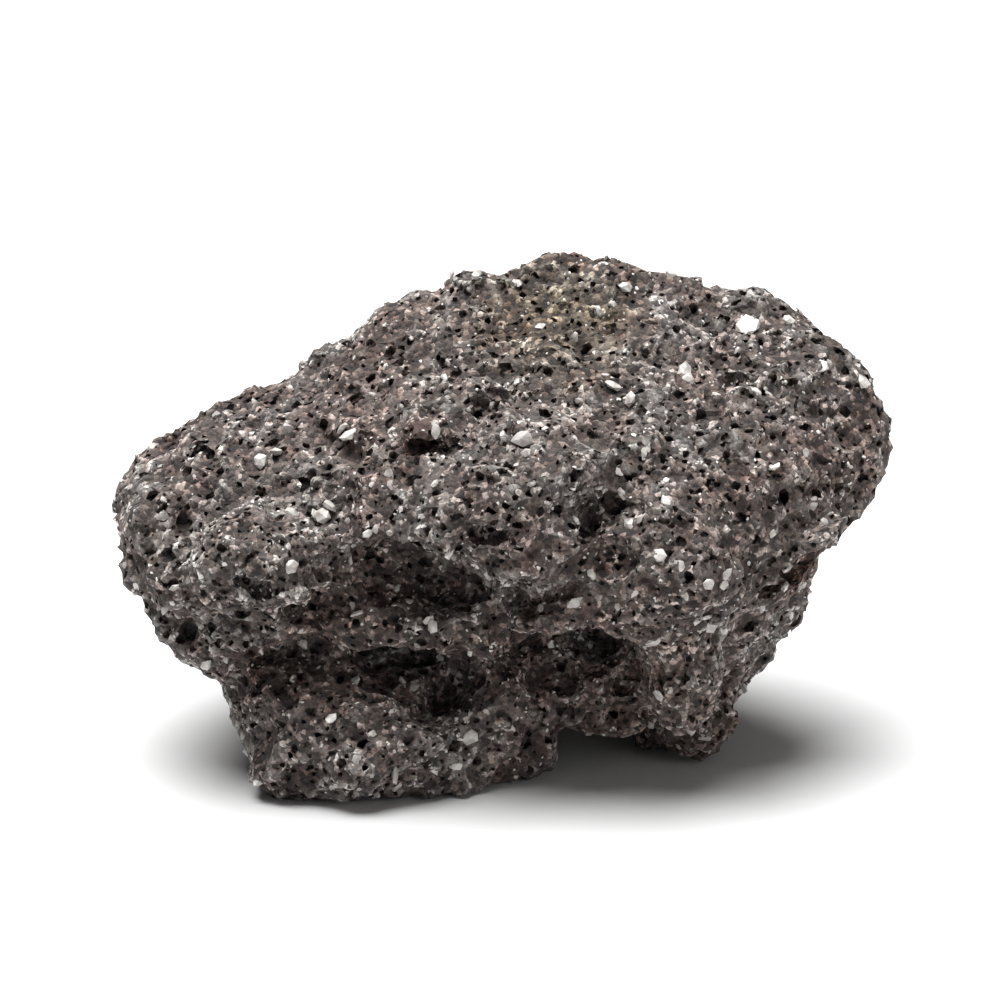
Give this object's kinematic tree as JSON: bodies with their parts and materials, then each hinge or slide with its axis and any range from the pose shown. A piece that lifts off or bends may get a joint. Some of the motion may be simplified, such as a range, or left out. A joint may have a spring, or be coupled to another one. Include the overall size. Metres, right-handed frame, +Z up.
{
  "type": "lava rock",
  "caption": "Lump of rough grey-brown lava rock with open gas holes and pale mineral grains, leaning over a hollowed front and resting on worn feet.",
  "frame": {"origin": "middle of the stone's length and depth, on the plane that its worn feet rest on", "axes": "+X along the stone's length towards its high, thick end, +Z up from the feet; the steep, hollowed front faces -Y"},
  "size_m": [0.0818, 0.0514, 0.0513],
  "materials": {
    "lava": "rough, dull and full of open gas holes, with pale mineral grains"
  },
  "bodies": {
    "root": {"lava_rock": "lava"}
  },
  "joints": []
}
